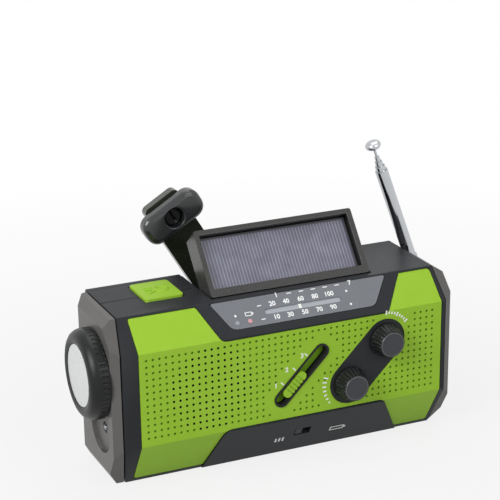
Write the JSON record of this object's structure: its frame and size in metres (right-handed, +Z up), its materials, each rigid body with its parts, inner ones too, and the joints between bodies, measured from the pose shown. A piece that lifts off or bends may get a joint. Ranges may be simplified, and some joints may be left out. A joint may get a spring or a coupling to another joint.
{
  "type": "hand crank solar radio",
  "caption": "Emergency radio with a tilting solar flap, rear hand crank, end torch, tuning and volume knobs, dotted grille and telescopic antenna.",
  "frame": {"origin": "middle of the flat base, in the plane of the table", "axes": "+X along the radio towards the antenna end, +Y from the front to the rear, +Z up"},
  "size_m": [0.1663, 0.0693, 0.12],
  "materials": {
    "case_dark": "fine satin grain",
    "cap_grey": "satin",
    "fascia_green": "satin sheen",
    "dial_tint": "clear tinted, polished",
    "dial_print": "printed",
    "white_plastic": "smooth",
    "led_lens": "frosted",
    "knob_dark": "satin",
    "shaft_steel": "turned",
    "module_plastic": "moulded",
    "switch_black": "smooth",
    "flap_grey": "satin",
    "solar_glass": "laminated cell",
    "arm_black": "polished",
    "gear_plastic": "moulded",
    "bush_brass": "turned",
    "antenna_chrome": "polished",
    "lens_clear": "clear",
    "reflector_metal": "bright",
    "board_green": "lacquered",
    "cone_black": "pressed",
    "can_steel": "plated",
    "cell_wrap": "shrink sleeve",
    "port_rubber": "soft"
  },
  "bodies": {
    "case": {"front_housing": "case_dark", "rear_cover": "case_dark", "front_fascia": "fascia_green", "left_end_cap": "cap_grey", "right_end_cap": "cap_grey", "dial_window": "dial_tint", "dial_plate": "dial_print", "indicator_leds": "led_lens", "knob_plate": "knob_dark", "tuning_capacitor": "module_plastic", "volume_pot": "can_steel", "band_switch": "switch_black", "source_switch_body": "module_plastic", "lamp_switch": "module_plastic", "flap_pins": "shaft_steel", "generator_body": "can_steel", "gearbox_plate": "module_plastic", "crank_bush": "bush_brass", "torch_bezel": "cap_grey", "torch_lens": "lens_clear", "torch_reflector": "reflector_metal", "torch_board": "white_plastic", "speaker_frame": "can_steel", "speaker_cone": "cone_black", "main_board": "board_green", "lithium_cell": "cell_wrap", "aaa_cells": "bush_brass", "battery_contacts": "shaft_steel", "usb_sockets": "shaft_steel", "case_screws": "shaft_steel"},
    "tuning_control": {"tuning_knob": "knob_dark", "tuning_shaft": "shaft_steel"},
    "dial_pointer": {"tuning_pointer": "white_plastic"},
    "volume_control": {"volume_knob": "knob_dark", "volume_shaft": "shaft_steel"},
    "band_control": {"band_slider": "fascia_green"},
    "source_control": {"source_switch": "switch_black"},
    "lamp_control": {"lamp_button": "fascia_green"},
    "solar_flap": {"flap_frame": "flap_grey", "flap_shell": "flap_grey", "solar_cell": "solar_glass", "reading_lamp": "white_plastic"},
    "crank": {"crank_hub": "arm_black", "crank_gear": "gear_plastic", "fold_pin": "shaft_steel"},
    "arm": {"crank_arm": "arm_black", "knob_pin": "switch_black"},
    "grip": {"crank_knob": "knob_dark"},
    "idler": {"idler_gear": "gear_plastic"},
    "rotor": {"generator_rotor": "bush_brass"},
    "antenna_swivel": {"antenna_base": "antenna_chrome", "antenna_pin": "shaft_steel"},
    "antenna_mast": {"antenna_tube_1": "antenna_chrome"},
    "antenna_stage_2": {"antenna_tube_2": "antenna_chrome"},
    "antenna_stage_3": {"antenna_tube_3": "antenna_chrome"},
    "antenna_stage_4": {"antenna_tube_4": "antenna_chrome"},
    "antenna_end": {"antenna_tip": "antenna_chrome"},
    "door": {"battery_door": "case_dark"},
    "port_cover": {"port_flap": "port_rubber"}
  },
  "joints": [
    {"name": "tuning_turn", "type": "hinge", "parent": "case", "child": "tuning_control", "pos_m": [0.0432, -0.0304, 0.0469], "axis": [0, -1, 0], "range_deg": [-150, 150]},
    {"name": "pointer_travel", "type": "slide", "parent": "case", "child": "dial_pointer", "axis": [1, 0, 0], "range_m": [-0.014, 0.014]},
    {"name": "volume_turn", "type": "hinge", "parent": "case", "child": "volume_control", "pos_m": [0.027, -0.0304, 0.0306], "axis": [0, 1, 0], "range_deg": [0, 300]},
    {"name": "band_slide", "type": "slide", "parent": "case", "child": "band_control", "axis": [0.7031, 0, 0.7111], "range_m": [-0.003, 0.012]},
    {"name": "source_slide", "type": "slide", "parent": "case", "child": "source_control", "axis": [1, 0, 0], "range_m": [0, 0.003]},
    {"name": "lamp_press", "type": "slide", "parent": "case", "child": "lamp_control", "axis": [0, 0, -1], "range_m": [0, 0.0012], "stiffness_N_per_m": 300, "springref_m": -0.0006},
    {"name": "flap_hinge", "type": "hinge", "parent": "case", "child": "solar_flap", "pos_m": [0, -0.009, 0.0692], "axis": [1, 0, 0], "range_deg": [-51, 25]},
    {"name": "crank_turn", "type": "hinge", "parent": "case", "child": "crank", "pos_m": [0.005, 0.0146, 0.04], "axis": [0, 1, 0], "continuous": true},
    {"name": "arm_fold", "type": "hinge", "parent": "crank", "child": "arm", "pos_m": [0.005, 0.029, 0.04], "axis": [-0.8572, 0, -0.515], "range_deg": [0, 175]},
    {"name": "grip_turn", "type": "hinge", "parent": "arm", "child": "grip", "pos_m": [-0.02796, 0.0232, 0.09486], "axis": [0, 1, 0], "continuous": true},
    {"name": "idler_turn", "type": "hinge", "parent": "case", "child": "idler", "pos_m": [-0.0145, 0.0096, 0.02874], "axis": [0, 1, 0], "continuous": true},
    {"name": "rotor_turn", "type": "hinge", "parent": "case", "child": "rotor", "pos_m": [0.00223, -0.0004, 0.01908], "axis": [0, 1, 0], "continuous": true},
    {"name": "antenna_turn", "type": "hinge", "parent": "case", "child": "antenna_swivel", "pos_m": [0.078, 0.0096, 0.048], "axis": [0, 0, 1], "range_deg": [-75, 75]},
    {"name": "antenna_tilt", "type": "hinge", "parent": "antenna_swivel", "child": "antenna_mast", "pos_m": [0.078, 0.0096, 0.062], "axis": [0, 1, 0], "range_deg": [0, 105]},
    {"name": "antenna_pull_1", "type": "slide", "parent": "antenna_mast", "child": "antenna_stage_2", "axis": [-0.3404, 0, 0.9403], "range_m": [0, 0.036]},
    {"name": "antenna_pull_2", "type": "slide", "parent": "antenna_stage_2", "child": "antenna_stage_3", "axis": [-0.3404, 0, 0.9403], "range_m": [0, 0.036]},
    {"name": "antenna_pull_3", "type": "slide", "parent": "antenna_stage_3", "child": "antenna_stage_4", "axis": [-0.3404, 0, 0.9403], "range_m": [0, 0.036]},
    {"name": "antenna_pull_4", "type": "slide", "parent": "antenna_stage_4", "child": "antenna_end", "axis": [-0.3404, 0, 0.9403], "range_m": [0, 0.036]},
    {"name": "door_slide", "type": "slide", "parent": "case", "child": "door", "axis": [0, 0, -1], "range_m": [0, 0.02]},
    {"name": "port_open", "type": "hinge", "parent": "case", "child": "port_cover", "pos_m": [0.0753, -0.0104, 0.011], "axis": [0, 1, 0], "range_deg": [0, 110]}
  ],
  "couplings": [
    {"joint": "pointer_travel", "follows": "tuning_turn", "m_per_rad": -0.0053},
    {"joint": "idler_turn", "follows": "crank_turn", "ratio": -2.5},
    {"joint": "rotor_turn", "follows": "crank_turn", "ratio": 7.5}
  ]
}
